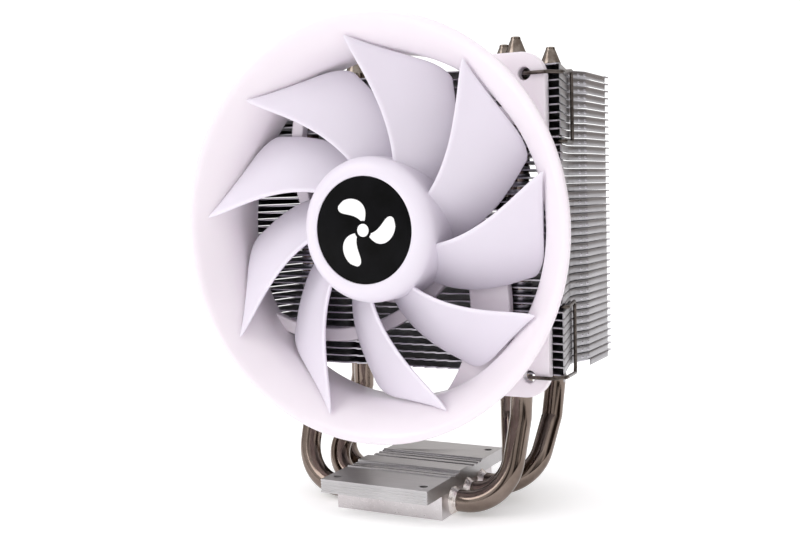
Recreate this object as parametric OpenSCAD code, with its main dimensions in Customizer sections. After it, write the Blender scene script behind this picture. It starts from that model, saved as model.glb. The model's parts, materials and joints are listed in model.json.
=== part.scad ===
// Tower cooler for a processor: three bent heat pipes carry heat from a small
// base into a stack of forty fins, and a round fan held by four wire clips
// blows through the stack.
//
// Frame: millimetres, +Z up. The origin is the middle of the cold plate's
// contact face. The fan faces -Y and the stack lies behind it.

/* [Base] */
// Width of the cold plate and of the mounting plate, along X
base_w = 43.6; // [38:0.2:52]
// Depth of the cold plate, along Y
cold_plate_d = 45.6; // [42:0.2:60]
// Thickness of the cold plate
cold_plate_t = 8.8; // [8.2:0.2:11]
// Depth of the mounting plate, along Y
mount_plate_d = 69; // [62:0.5:84]
// Thickness of the mounting plate
mount_plate_t = 5; // [4:0.2:8]
// Distance between the bracket screw holes, along X
screw_pitch_x = 35.6; // [30:0.2:36]
// Distance between the bracket screw holes, along Y
screw_pitch_y = 58; // [55:0.5:60]
// Diameter of the bracket screw holes
screw_d = 3; // [2.5:0.1:4]

/* [Heat pipes] */
// Outer diameter of the heat pipes
pipe_d = 8; // [6:0.5:9.5]
// Height of the pipes' axes above the contact face, inside the base
pipe_z = 5; // [4.9:0.1:5.4]
// Distance between the pipes in the base, along Y
pipe_pitch_base = 12.5; // [12:0.25:14]
// Distance from the middle to the front and rear risers, along X
riser_x = 44.2; // [40:0.2:50]
// Distance from the middle to the middle risers, along X
riser_x_middle = 32.4; // [30:0.2:38]
// Place of the middle risers, along Y
riser_y = 18; // [15:0.5:22]
// Distance between neighbouring risers, along Y
riser_pitch = 18; // [12:0.5:20]
// Height of the pipes' sealed tips above the top fin
tip_rise = 11.4; // [9:0.2:16]
// Radius of the front and rear pipes' bends, on the axis
pipe_bend_r = 17; // [14:0.5:19]
// Radius of the middle pipe's bends, on the axis
middle_bend_r = 12.5; // [10:0.5:13]

/* [Fins] */
// Number of fins
fin_count = 40; // [20:1:50]
// Distance from one fin to the next
fin_pitch = 2.76; // [2.2:0.02:3.4]
// Thickness of the fin sheet
fin_t = 0.5; // [0.3:0.05:0.7]
// Height of the lowest fin above the contact face
stack_bottom = 52.8; // [48:0.5:64]
// Width of the fins at the front
fin_w = 128.4; // [126:0.5:156]
// Depth of the fins
fin_d = 64; // [62:0.5:80]
// Depth of the shallow notch in each side of the fins
side_notch = 5.5; // [4:0.1:8]
// Length of the saw-toothed part of the fins' front edge
saw_w = 48; // [20:1:60]
// Length of one saw tooth
saw_pitch = 4.8; // [3:0.2:8]
// Depth of one saw tooth
saw_depth = 2.2; // [1:0.1:4]

/* [Fan] */
// Outer diameter of the fan's front lip
fan_d = 152; // [148:1:170]
// Depth of the fan
fan_depth = 27; // [25:0.5:32]
// Diameter of the fan's throat
throat_d = 125.6; // [122:0.2:130]
// Width of the square formed by the fan's four ears
ear_w = 120; // [118:0.5:122]
// Thickness of the ears
ear_t = 4; // [3:0.2:6]
// Distance between the ear holes
ear_pitch = 105; // [102:0.5:106]
// Diameter of the ear holes
ear_hole_d = 4.4; // [4:0.1:5]
// Diameter of the impeller's hub
hub_d = 52; // [50:0.5:56]
// Number of blades
blade_count = 9; // [5:1:11]
// Thickness of the blades
blade_t = 1.6; // [1.2:0.1:2.2]
// Gap between the blade tips and the frame
tip_gap = 1; // [0.8:0.1:2]
// Diameter of the fan's shaft
shaft_d = 3; // [2.5:0.1:4]

/* [Clips] */
// Diameter of the clips' wire
wire_d = 1.3; // [1:0.1:1.8]
// Length of each clip's upright bar in the side notch
bar_len = 26; // [16:1:40]
// How much further from the fan's axis the bar starts than the hook lies
arm_rise = 2.8; // [0:0.2:5]

/* [Hidden] */
$fn = 64;

// Clearances
gap = 0.05;        // between pieces of a running fit, on the radius
air_gap = 0.5;     // between the magnet and the stator, on the radius
fold_gap = 0.06;   // between a fin's folded edge and the fin below
wire_gap = 0.3;    // between a clip and what it lies against
joint_swell = 0.02; // how much wider than a bent bar its joints are, on the radius
joint_l = 0.3;     // length of a joint between a bend and a straight run

// Levels and places that follow from the sizes above
plate_top = cold_plate_t + mount_plate_t;
stack_front = -10;
stack_rear = stack_front + fin_d;
stack_top = stack_bottom + (fin_count - 1) * fin_pitch + fin_t;
fan_drop = 1.7;    // how far the fan's axis lies below the middle of the stack
fan_z = (stack_bottom + stack_top) / 2 - fan_drop;
fan_front = stack_front - fan_depth;
ear_front = stack_front - ear_t;
pipe_tip = stack_top + tip_rise;
pipe_r = pipe_d / 2;

// ---------------------------------------------------------------- helpers

function unit(v) = v / norm(v);

// Angles for rotate() that turn X, Y and Z onto ex, ey and ez
function frame_angles(ex, ey, ez) = [atan2(ey.z, ez.z), -asin(ex.z), atan2(ex.y, ex.x)];

// How far a bend of radius r reaches along each straight run at corner b
function bend_reach(a, b, c, r) =
    let (turn = acos(unit(b - a) * unit(c - b)))
    r * tan(turn / 2);

// A round bar from a to b
module bar(a, b, r) {
    d = unit(b - a);
    translate(a) rotate([0, acos(d.z), atan2(d.y, d.x)]) cylinder(r = r, h = norm(b - a));
}

// A round bar bent at corner b with radius bend_r, on its way from a to c
module bend(a, b, c, r, bend_r) {
    d1 = unit(b - a);
    d2 = unit(c - b);
    n = unit(cross(d1, d2));
    start = b - bend_reach(a, b, c, bend_r) * d1;
    centre = start + bend_r * cross(n, d1);
    translate(centre) rotate(frame_angles(-cross(n, d1), d1, n))
        rotate_extrude(angle = acos(d1 * d2)) translate([bend_r, 0]) circle(r = r);
}

// A short joint a hair wider than the bar, across the end of a bend at p
module bend_joint(p, d, r) {
    bar(p - joint_l / 2 * d, p + joint_l / 2 * d, r + joint_swell);
}

// A round bar along the points, bent at each inner point with radius bend_r
module bent_bar(points, r, bend_r) {
    last = len(points) - 1;
    for (i = [1 : last - 1]) {
        reach = bend_reach(points[i - 1], points[i], points[i + 1], bend_r);
        d1 = unit(points[i] - points[i - 1]);
        d2 = unit(points[i + 1] - points[i]);
        bend(points[i - 1], points[i], points[i + 1], r, bend_r);
        bend_joint(points[i] - reach * d1, d1, r);
        bend_joint(points[i] + reach * d2, d2, r);
    }
    for (i = [0 : last - 1]) {
        d = unit(points[i + 1] - points[i]);
        from = i == 0 ? 0 : bend_reach(points[i - 1], points[i], points[i + 1], bend_r);
        to = i == last - 1 ? 0 : bend_reach(points[i], points[i + 1], points[i + 2], bend_r);
        bar(points[i] + from * d, points[i + 1] - to * d, r);
    }
}

// Both halves of a shape that is the same left and right
module both_sides() {
    children();
    mirror([1, 0, 0]) children();
}

// ------------------------------------------------------------------- base

// The room the three pipes take up in the base
module pipe_bores() {
    for (i = [-1 : 1])
        translate([-base_w, i * pipe_pitch_base, pipe_z]) rotate([0, 90, 0])
            cylinder(d = pipe_d, h = 2 * base_w);
}

// Block that touches the processor, bored for the pipes
module cold_plate() {
    color("gainsboro") difference() {
        translate([-base_w / 2, -cold_plate_d / 2, 0]) cube([base_w, cold_plate_d, cold_plate_t]);
        pipe_bores();
    }
}

// Extruded plate on the cold plate: grooved ends, ribs across the top, four
// screw holes, and shallow beds for the crowns of the pipes
module mounting_plate() {
    groove = 0.5;                     // width of a groove in the ends
    groove_pitch = mount_plate_t / 5;
    rib_h = 0.8;                      // height of the broad rib
    half = mount_plate_d / 2;
    color("darkgray") difference() {
        union() {
            translate([-base_w / 2, -half, cold_plate_t]) cube([base_w, mount_plate_d, mount_plate_t]);
            for (y = [-15, 14])
                translate([-base_w / 2, y, plate_top]) cube([base_w, 1.2, rib_h / 2]);
            translate([-base_w / 2, -7, plate_top]) cube([base_w, 8, rib_h]);
        }
        for (side = [-1, 1], i = [1 : 4])
            translate([-base_w, side * half - groove / 2, cold_plate_t + i * groove_pitch - groove / 2])
                cube([2 * base_w, groove, groove]);
        pipe_bores();
        for (y = [-12, -9.5, 4, 8, 11])
            translate([-base_w, y, plate_top - groove]) cube([2 * base_w, y < 0 ? 0.8 : 1.8, groove + 1]);
        for (x = [-1, 1], y = [-1, 1])
            translate([x * screw_pitch_x / 2, y * screw_pitch_y / 2, 0]) cylinder(d = screw_d, h = plate_top + 1);
    }
}

// Solder that fills round each pipe where it leaves the cold plate
module solder_collars() {
    collar_l = 2.5;
    color("whitesmoke") both_sides() difference() {
        for (i = [-1 : 1])
            translate([base_w / 2, i * pipe_pitch_base, pipe_z]) rotate([0, 90, 0])
                cylinder(r1 = pipe_r + 0.9, r2 = pipe_r + 0.3, h = collar_l);
        for (i = [-1 : 1])
            translate([0, i * pipe_pitch_base, pipe_z]) rotate([0, 90, 0])
                cylinder(r = pipe_r, h = base_w);
    }
}

// ------------------------------------------------------------- heat pipes

foot_out = 20.8;                  // from the base's side to the front and rear pipes' corners
middle_foot_out = 18.6;           // from the base's side to the middle pipe's corner
knees = [38, 36, 34];             // height where each pipe turns upright, front to rear

// One U-shaped pipe: down the left riser, through the base and up the right
// riser, with a crimped cone at each tip
module heat_pipe(y_base, x_riser, y_riser, knee_z, foot_x, bend_r) {
    cone_h = 5.6;
    cone_r = 1.9;
    nose_h = 1;
    shoulder = pipe_tip - cone_h - nose_h;
    right = [
        [foot_x, y_base, pipe_z], [x_riser, y_riser, knee_z], [x_riser, y_riser, shoulder]
    ];
    left = [for (i = [2 : -1 : 0]) [-right[i].x, right[i].y, right[i].z]];
    bent_bar(concat(left, right), pipe_r, bend_r);
    both_sides() translate([x_riser, y_riser, shoulder]) {
        bend_joint([0, 0, 0], [0, 0, 1], pipe_r);
        cylinder(r1 = pipe_r, r2 = cone_r, h = cone_h);
        translate([0, 0, cone_h]) cylinder(r1 = cone_r, r2 = cone_r * 0.6, h = nose_h);
    }
}

module heat_pipe_front() {
    color("rosybrown") heat_pipe(-pipe_pitch_base, riser_x, riser_y - riser_pitch, knees[0],
        base_w / 2 + foot_out, pipe_bend_r);
}

module heat_pipe_middle() {
    color("rosybrown") heat_pipe(0, riser_x_middle, riser_y, knees[1],
        base_w / 2 + middle_foot_out, middle_bend_r);
}

module heat_pipe_rear() {
    color("rosybrown") heat_pipe(pipe_pitch_base, riser_x, riser_y + riser_pitch, knees[2],
        base_w / 2 + foot_out, pipe_bend_r);
}

// ------------------------------------------------------------------- fins

// Right-hand side of the fins, from the front corner round the notch to the rear
function side_line() = let (w = fin_w / 2, deep = w - side_notch, rear = w - side_notch / 2) [
    [w, stack_front], [deep, stack_front + 23], [deep, stack_front + 29],
    [rear, stack_front + 36], [rear, stack_rear]
];

// Saw-toothed middle of the front edge, from left to right
function saw_line() = [
    for (x = [-saw_w / 2 : saw_pitch : saw_w / 2 - saw_pitch / 2])
        for (p = [[x, stack_front + 0.01], [x + saw_pitch, stack_front + saw_depth]]) p
];

module fin_outline() {
    right = side_line();
    left = [for (i = [len(right) - 1 : -1 : 0]) [-right[i].x, right[i].y]];
    polygon(concat(saw_line(), right, left));
}

// Folded edge that hangs from a fin's right-hand side, as far back as the fold goes
module side_fold(open_front, ends_only) {
    line = side_line();
    fold_rear = stack_rear - 4.5;
    outer = [for (i = [0 : 3]) line[i]];
    rim = concat(outer, [[line[4].x, fold_rear]]);
    inner = [for (i = [4 : -1 : 0]) [rim[i].x - fin_t, rim[i].y]];
    fold_h = fin_pitch - fin_t - fold_gap;
    difference() {
        translate([0, 0, -fold_h]) linear_extrude(fold_h) polygon(concat(rim, inner));
        if (open_front) translate([fin_w / 4, stack_front - 1, -fin_pitch]) cube([fin_w, 9, fin_pitch]);
        if (ends_only) translate([fin_w / 4, stack_front + 6, -fin_pitch]) cube([fin_w, 32, fin_pitch]);
    }
}

// One fin: a thin sheet with bores for the six risers and a fold down each side.
// The fold can be left open at the front, or kept at its two ends only.
module fin(open_front = false, ends_only = false) {
    difference() {
        linear_extrude(fin_t) fin_outline();
        for (side = [-1, 1], i = [-1 : 1])
            translate([side * (i == 0 ? riser_x_middle : riser_x), riser_y + i * riser_pitch, -1])
                cylinder(r = pipe_r, h = fin_t + 2);
    }
    both_sides() side_fold(open_front, ends_only);
}

function fin_z(i) = stack_bottom + i * fin_pitch;

// The fins just above the tails of the upper and lower clips
function tail_fin(z) = ceil((z - stack_bottom) / fin_pitch);

module bottom_fin() {
    color("silver") translate([0, 0, fin_z(0)]) fin(ends_only = true);
}

module fin_stack() {
    open = [tail_fin(clip_tail_z(1)), tail_fin(clip_tail_z(-1))];
    color("silver") for (i = [1 : fin_count - 2])
        translate([0, 0, fin_z(i)]) fin(i == open[0] || i == open[1]);
}

module top_fin() {
    color("silver") translate([0, 0, fin_z(fin_count - 1)]) fin();
}

// -------------------------------------------------------------------- fan

// Places children on the fan's axis: local Z runs back from the front lip
module on_fan() {
    translate([0, fan_front, fan_z]) rotate([-90, 0, 0]) children();
}

flare_l = 17;                     // how far back the lip's flare reaches
lip_w = 2.4;                      // flat width of the front lip
wall_t = 2.4;                     // wall of the throat
function funnel_r(d) =
    throat_d / 2 + (fan_d / 2 - lip_w - throat_d / 2) * pow(max(0, 1 - d / flare_l), 2);

motor_r = 28;                     // radius of the motor's base plate
motor_t = 3;                      // thickness of the motor's base plate
strut_h = 4;                      // depth of the struts
strut_z = fan_depth - strut_h;    // front of the struts
hub_front = 0.9;                  // how far the badge lies behind the lip
hub_rear = fan_depth - motor_t - 1.2;
hub_wall = 1.6;
hub_r = hub_d / 2;
tube_front = 7;                   // front of the bearing tube
tube_r = 5;
sleeve_r = 3.5;
cover_r = 12;

module ring_shell() {
    inner = [for (d = [0 : 2 : flare_l - 1]) [funnel_r(d), d]];
    outer = [for (d = [flare_l - 1 : -2 : 2]) [funnel_r(d) + wall_t, d]];
    rotate_extrude($fn = 128) polygon(concat(
        inner, [[throat_d / 2, flare_l], [throat_d / 2, fan_depth]],
        [[throat_d / 2 + wall_t, fan_depth], [throat_d / 2 + wall_t, flare_l]], outer,
        [[fan_d / 2, 1.6], [fan_d / 2, 0]]
    ));
}

module rounded_square(w, r, h) {
    cube([w - 2 * r, w, h], center = true);
    cube([w, w - 2 * r, h], center = true);
    for (x = [-1, 1], y = [-1, 1]) translate([x * (w / 2 - r), y * (w / 2 - r), 0])
        cylinder(r = r, h = h, center = true);
}

// Curved struts that carry the motor's base plate. Each runs along a circle
// from the plate to the duct, and one is widened where the motor's lead would lie.
strut_w = 5;                      // width of a strut
strut_arc_r = 62.6;               // radius of a strut's middle line
strut_off = 36;                   // distance of that circle's middle from the fan's axis
first_strut = 36.8;               // direction in which the first strut leaves the plate
lead_in = 8.1;                    // how much further inwards the wide strut reaches
lead_out = 2.1;                   // how much further outwards the wide strut reaches

// Piece of a strut's circle from angle a on, between radii r0 and r1
module strut_arc(a, r0, r1) {
    translate([-strut_off, 0, strut_z]) rotate([0, 0, a]) rotate_extrude(angle = 100 - a)
        translate([r0, 0]) square([r1 - r0, strut_h]);
}

module struts() {
    r0 = strut_arc_r - strut_w / 2;
    r1 = strut_arc_r + strut_w / 2;
    for (i = [0 : 3]) rotate([0, 0, first_strut + i * 90]) strut_arc(0, r0, r1);
    rotate([0, 0, first_strut - 90]) strut_arc(38, r0 - lead_in, r1 + lead_out);
}

module fan_frame() {
    color("white") on_fan() difference() {
        union() {
            difference() {
                union() {
                    ring_shell();
                    translate([0, 0, fan_depth - ear_t / 2]) rounded_square(ear_w, 9, ear_t);
                }
                translate([0, 0, flare_l]) cylinder(d = throat_d, h = fan_depth, $fn = 128);
            }
            intersection() {
                struts();
                cylinder(r = throat_d / 2 + wall_t / 2, h = fan_depth);
            }
            translate([0, 0, fan_depth - motor_t]) cylinder(r = motor_r, h = motor_t);
            translate([0, 0, tube_front]) cylinder(r = tube_r, h = fan_depth - tube_front - 1);
        }
        for (x = [-1, 1], y = [-1, 1]) translate([x * ear_pitch / 2, y * ear_pitch / 2, 0]) {
            translate([0, 0, fan_depth - ear_t - 1]) cylinder(d = ear_hole_d, h = ear_t + 2);
        }
        translate([0, 0, tube_front - 1]) cylinder(r = sleeve_r, h = fan_depth);
        translate([0, 0, fan_depth - 1]) cylinder(r = cover_r, h = 2);
    }
}

// ------------------------------------------------------------------ motor

sleeve_rear = fan_depth - 4.5;
pad_front = fan_depth - 3;

module bearing_sleeve() {
    color("peru") on_fan() translate([0, 0, tube_front]) difference() {
        cylinder(r = sleeve_r, h = sleeve_rear - tube_front);
        translate([0, 0, -1]) cylinder(r = shaft_d / 2 + gap, h = fan_depth);
    }
}

module thrust_pad() {
    color("black") on_fan() translate([0, 0, pad_front]) cylinder(r = sleeve_r, h = fan_depth - 1 - pad_front);
}

yoke_t = 1;
magnet_t = 2.2;
magnet_r = hub_r - hub_wall - yoke_t;
core_r = magnet_r - magnet_t - air_gap;
core_hub_r = 9;
core_z = 10;
core_h = 6;
pole_w = 6;
shoe_w = 24;
shoe_t = 2.2;

// Four T-shaped poles round a hub
module stator_core() {
    color("slategray") on_fan() translate([0, 0, core_z]) linear_extrude(core_h) difference() {
        union() {
            circle(r = core_hub_r);
            for (i = [0 : 3]) rotate(i * 90 + 45) {
                translate([0, -pole_w / 2]) square([core_r - shoe_t / 2, pole_w]);
                intersection() {
                    difference() {
                        circle(r = core_r);
                        circle(r = core_r - shoe_t);
                    }
                    translate([0, -shoe_w / 2]) square([core_r + 1, shoe_w]);
                }
            }
        }
        circle(r = tube_r);
    }
}

bobbin_t = 1;

// Insulating rings on both faces of the core's hub
module winding_bobbin() {
    color("ivory") on_fan() for (z = [core_z - bobbin_t, core_z + core_h])
        translate([0, 0, z]) difference() {
            cylinder(r = core_hub_r, h = bobbin_t);
            translate([0, 0, -1]) cylinder(r = tube_r, h = bobbin_t + 2);
        }
}

// One coil round each of the four poles
module stator_windings() {
    coil_w = 11;
    coil_in = core_hub_r + 0.6;
    shoe_in = core_r - shoe_t;        // inner radius of the pole shoes
    coil_l = sqrt(shoe_in * shoe_in - coil_w * coil_w / 4) - 0.3 - coil_in;
    coil_over = 2;
    color("orangered") on_fan() for (i = [0 : 3]) rotate([0, 0, i * 90 + 45])
        translate([coil_in, 0, core_z]) difference() {
            translate([0, -coil_w / 2, -coil_over]) cube([coil_l, coil_w, core_h + 2 * coil_over]);
            translate([-1, -pole_w / 2, 0]) cube([coil_l + 2, pole_w, core_h]);
        }
}

board_t = 1.6;

module motor_board() {
    color("seagreen") on_fan() translate([0, 0, fan_depth - motor_t - board_t]) difference() {
        cylinder(r = 18, h = board_t);
        translate([0, 0, -1]) cylinder(r = tube_r, h = board_t + 2);
    }
}

module rear_cover() {
    color("white") on_fan() translate([0, 0, fan_depth - 1]) cylinder(r = cover_r - gap, h = 1);
}

// --------------------------------------------------------------- impeller

tip_lead = 15.8;                  // place of the first blade's leading tip, from +X
blade_sweep = 28;                 // how far the leading edge leads at the tip
root_span = 37;                   // angle from leading to trailing edge at the hub
tip_span = 33;                    // angle from leading to trailing edge at the tip
corner_v = 0.66;                  // where the rounding of the trailing tip corner starts
corner_drop = 3.6;                // how far that corner is drawn in from the duct
blade_root_d = 7;                 // depth of the leading edge at the hub
blade_tip_d = 2.8;                // depth of the leading edge at the tip
blade_rear = hub_rear - 1.6;      // depth of the trailing edge

// Middle of a blade at u from hub to tip and v from leading to trailing edge,
// as radius, angle and depth
function blade_place(u, v) =
    let (
        lead_d = blade_root_d + (blade_tip_d - blade_root_d) * u,
        d = lead_d + (blade_rear - lead_d) * pow(v, 0.85),
        s = max(0, (v - corner_v) / (1 - corner_v)),
        r0 = hub_r - 1,
        r = r0 + (funnel_r(d) - tip_gap - corner_drop * (1 - sqrt(1 - s * s)) - r0) * u,
        span = root_span + (tip_span - root_span) * u * u
    )
    [r, tip_lead - blade_sweep * pow(1 - u, 1.3) - span * v, d];

function on_axis(p) = [p[0] * cos(p[1]), -p[0] * sin(p[1]), p[2]];

// Both faces of the blade, half its thickness either side of the middle
function blade_face(side, nu, nv) = [
    for (i = [0 : nu], j = [0 : nv])
        let (
            p = blade_place(i / nu, j / nv),
            a = on_axis(blade_place(i / nu, max(0, j / nv - 0.02))),
            b = on_axis(blade_place(i / nu, min(1, j / nv + 0.02))),
            c = on_axis(blade_place(max(0, i / nu - 0.02), j / nv)),
            e = on_axis(blade_place(min(1, i / nu + 0.02), j / nv)),
            n = unit(cross(b - a, e - c))
        )
        on_axis(p) + side * blade_t / 2 * n
];

module blade() {
    nu = 5;
    nv = 6;
    half = (nu + 1) * (nv + 1);
    function at(i, j) = i * (nv + 1) + j;
    front = [for (i = [0 : nu - 1], j = [0 : nv - 1], t = [0, 1])
        t == 0 ? [at(i, j), at(i + 1, j), at(i, j + 1)] : [at(i + 1, j), at(i + 1, j + 1), at(i, j + 1)]];
    back = [for (f = front) [f[2] + half, f[1] + half, f[0] + half]];
    rim = concat(
        [for (i = [0 : nu - 1]) at(i, 0)], [for (j = [0 : nv - 1]) at(nu, j)],
        [for (i = [nu : -1 : 1]) at(i, nv)], [for (j = [nv : -1 : 1]) at(0, j)]
    );
    n = len(rim);
    edge = [for (k = [0 : n - 1], t = [0, 1])
        let (a = rim[k], b = rim[(k + 1) % n]) t == 0 ? [a, a + half, b] : [b, a + half, b + half]];
    polyhedron(concat(blade_face(1, nu, nv), blade_face(-1, nu, nv)), concat(front, back, edge));
}

badge_r = 19;
badge_t = 0.6;

module hub() {
    dome = [for (a = [0 : 15 : 90])
        [badge_r + 1.4 + (hub_r - badge_r - 1.4) * sin(a), hub_front + 5 * (1 - cos(a))]];
    rotate_extrude() polygon(concat(
        [[0, hub_front + badge_t], [badge_r + 0.1, hub_front + badge_t], [badge_r + 0.1, hub_front]], dome,
        [[hub_r, hub_rear], [hub_r - hub_wall, hub_rear], [hub_r - hub_wall, 5], [0, 5]]
    ));
}

module impeller() {
    color("lavender") on_fan() difference() {
        union() {
            hub();
            for (i = [0 : blade_count - 1]) rotate([0, 0, i * 360 / blade_count]) blade();
        }
        translate([0, 0, 5]) cylinder(r = hub_r - hub_wall, h = fan_depth);
    }
}

module hub_badge() {
    color("black") on_fan() translate([0, 0, hub_front]) cylinder(r = badge_r, h = badge_t);
}

yoke_front = 5;

module rotor_yoke() {
    color("dimgray") on_fan() translate([0, 0, yoke_front]) difference() {
        cylinder(r = hub_r - hub_wall, h = hub_rear - yoke_front - 1);
        translate([0, 0, yoke_t]) cylinder(r = magnet_r, h = fan_depth);
        translate([0, 0, -1]) cylinder(d = shaft_d, h = 3);
    }
}

module rotor_magnet() {
    color("darkslategray") on_fan() translate([0, 0, core_z - 1.5]) difference() {
        cylinder(r = magnet_r, h = core_h + 3);
        translate([0, 0, -1]) cylinder(r = magnet_r - magnet_t, h = core_h + 5);
    }
}

module shaft() {
    color("silver") on_fan() translate([0, 0, yoke_front])
        cylinder(d = shaft_d, h = pad_front - yoke_front - 0.1);
}

// Washer on the shaft's tail that keeps it in the sleeve
module retaining_ring() {
    color("white") on_fan() translate([0, 0, sleeve_rear + 0.3]) difference() {
        cylinder(r = sleeve_r - 0.6, h = 0.6);
        translate([0, 0, -1]) cylinder(d = shaft_d, h = 3);
    }
}

// ------------------------------------------------------------------ clips

// Height of a clip's tail: midway between two fins, bar_len in from the bar's start
function clip_tail_z(up) =
    let (z = fan_z + up * (ear_pitch / 2 + arm_rise - bar_len))
    fin_z(tail_fin(z)) - (fin_pitch - fin_t) / 2;

// A bent wire: hook in the ear hole, arm along the fins' side, bar in the side
// notch, and a tail that tucks in between two fins
module wire_clip(up) {
    $fn = 56;
    z = fan_z + up * ear_pitch / 2;
    tail_z = clip_tail_z(up);
    out = wire_d / 2 + wire_gap;
    line = side_line();
    corner = [line[0].x + out, stack_front - 0.4];
    notch = [line[1].x + out, line[1].y + 2];
    slope = (notch.x - corner.x) / (notch.y - corner.y);
    tail_y = stack_front + 5;
    tail_x = corner.x + slope * (tail_y - corner.y);
    bent_bar([
        [ear_pitch / 2, ear_front + 2.4, z], [ear_pitch / 2, ear_front - out, z],
        [ear_w / 2 + 1.2, ear_front - out, z], [corner.x, corner.y, z],
        [notch.x, notch.y, z + up * arm_rise],
        [notch.x, notch.y, tail_z], [tail_x, tail_y, tail_z], [tail_x - 2.6, tail_y - 0.4, tail_z]
    ], wire_d / 2, wire_d * 0.7);
}

module wire_clip_top_right() { color("dimgray") wire_clip(1); }
module wire_clip_top_left() { color("dimgray") mirror([1, 0, 0]) wire_clip(1); }
module wire_clip_bottom_right() { color("dimgray") wire_clip(-1); }
module wire_clip_bottom_left() { color("dimgray") mirror([1, 0, 0]) wire_clip(-1); }

cold_plate();
mounting_plate();
solder_collars();
heat_pipe_front();
heat_pipe_middle();
heat_pipe_rear();
bottom_fin();
fin_stack();
top_fin();
fan_frame();
bearing_sleeve();
thrust_pad();
stator_core();
winding_bobbin();
stator_windings();
motor_board();
rear_cover();
impeller();
hub_badge();
rotor_yoke();
rotor_magnet();
shaft();
retaining_ring();
wire_clip_top_left();
wire_clip_top_right();
wire_clip_bottom_left();
wire_clip_bottom_right();
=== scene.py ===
"""Looks for a tower cooler: a round white fan in front of a stack of folded fins,
three polished heat pipes, a grooved base and four bent wire clips.

Every shape below is a surface of two parameters, or a profile carried along a path,
worked out as whole arrays in millimetres and put down in metres.
"""
import json
import math
import bmesh
import bpy
import numpy as np
from mathutils import Matrix, Vector


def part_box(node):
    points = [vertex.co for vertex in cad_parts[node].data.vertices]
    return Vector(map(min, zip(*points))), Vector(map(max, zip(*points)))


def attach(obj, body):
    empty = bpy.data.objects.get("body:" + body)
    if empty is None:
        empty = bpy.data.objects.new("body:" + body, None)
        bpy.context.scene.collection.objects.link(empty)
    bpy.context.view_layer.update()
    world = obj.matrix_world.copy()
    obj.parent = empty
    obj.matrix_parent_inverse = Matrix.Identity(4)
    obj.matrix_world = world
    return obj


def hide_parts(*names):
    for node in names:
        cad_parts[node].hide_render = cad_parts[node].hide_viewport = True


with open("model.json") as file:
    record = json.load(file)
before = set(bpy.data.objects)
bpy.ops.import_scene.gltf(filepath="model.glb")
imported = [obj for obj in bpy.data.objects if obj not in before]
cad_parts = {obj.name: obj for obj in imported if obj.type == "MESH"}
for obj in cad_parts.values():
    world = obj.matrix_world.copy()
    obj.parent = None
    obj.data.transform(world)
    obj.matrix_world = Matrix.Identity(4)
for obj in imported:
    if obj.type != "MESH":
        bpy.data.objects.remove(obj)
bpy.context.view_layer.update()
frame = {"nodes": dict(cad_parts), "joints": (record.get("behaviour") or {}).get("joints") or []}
MM = 0.001


def low(node):
    """Lowest corner of a CAD node, in millimetres."""
    return np.array(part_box(node)[0]) / MM


def high(node):
    """Highest corner of a CAD node, in millimetres."""
    return np.array(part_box(node)[1]) / MM


# ------------------------------------------------------------------ sizes
spin = next(j for j in frame["joints"] if j["name"] == "fan_spin")
FAN_Z = spin["pos_m"][2] / MM
FAN_Y = low("fan_frame")[1]
LIP_R = high("fan_frame")[0]
FAN_REAR = high("fan_frame")[1] - FAN_Y
THROAT_R, WALL, LIP, FLARE = 62.8, 2.4, 2.4, 17.0
EAR_PITCH, EAR_HALF, EAR_R, EAR_T, EAR_HOLE = 105.0, 60.0, 9.0, 4.0, 2.2
STRUT_R, STRUT_OFF, STRUT_W, STRUT_H, STRUT_FIRST = 62.6, 36.0, 5.0, 4.0, 36.8
LEAD_IN, LEAD_OUT, LEAD_START = 8.1, 2.1, 38.0
MOTOR_R, COVER_R = 28.0, 12.0
HUB_R, HUB_REAR, HUB_WALL, HUB_ROUND = 26.0, 22.8, 1.6, 5.0
BADGE_R = high("hub_badge")[0]
BADGE_D = low("hub_badge")[1] - FAN_Y
BLADES = 9
BLADE_GAP, BLADE_HALF_T = 1.0, 0.8
ROOT_LEAD, TIP_LEAD, ROOT_SPAN, TIP_SPAN = 7.0, 2.8, 37.0, 33.0
FIRST_BLADE, SWEEP, SWEEP_POWER = 15.8, 28.0, 1.3
REAR_CORNER, REAR_DROP, FORE_CORNER, FORE_DROP = 0.64, 4.8, 0.05, 0.5
FIN_PITCH, FIN_T, FIN_COUNT = 2.76, 0.5, 40
FIN_FRONT, FIN_REAR = low("top_fin")[1], high("top_fin")[1]
FIN_HALF = high("top_fin")[0]
FIN_0 = high("bottom_fin")[2] - FIN_T
NOTCH, TAIL_L = 5.5, 4.5
PIPE_R = 4.0
BASE_HALF = high("cold_plate")[0]
PIPE_Y = (-12.5, 0.0, 12.5)
RISERS = ((44.2, 0.0), (32.4, 18.0), (44.2, 36.0))
KNEES = (38.0, 36.0, 34.0)
FEET = (BASE_HALF + 20.8, BASE_HALF + 18.6, BASE_HALF + 20.8)
BENDS = (17.0, 12.5, 17.0)
PIPE_Z = 5.0
PIPE_TIP = high("heat_pipe_front")[2]
TIP_L = 6.6
WIRE_R, ARM_RISE, BAR_L = 0.65, 2.8, 26.0


# ---------------------------------------------------------------- meshing
def weave(nu, nv, loop_u=False, loop_v=False):
    """Quads of an nu by nv grid of points, joined round in either direction."""
    i = np.arange(nu if loop_u else nu - 1)[:, None]
    j = np.arange(nv if loop_v else nv - 1)[None, :]
    i2, j2 = (i + 1) % nu, (j + 1) % nv
    return np.stack([i * nv + j, i2 * nv + j, i2 * nv + j2, i * nv + j2], -1).reshape(-1, 4)


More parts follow.
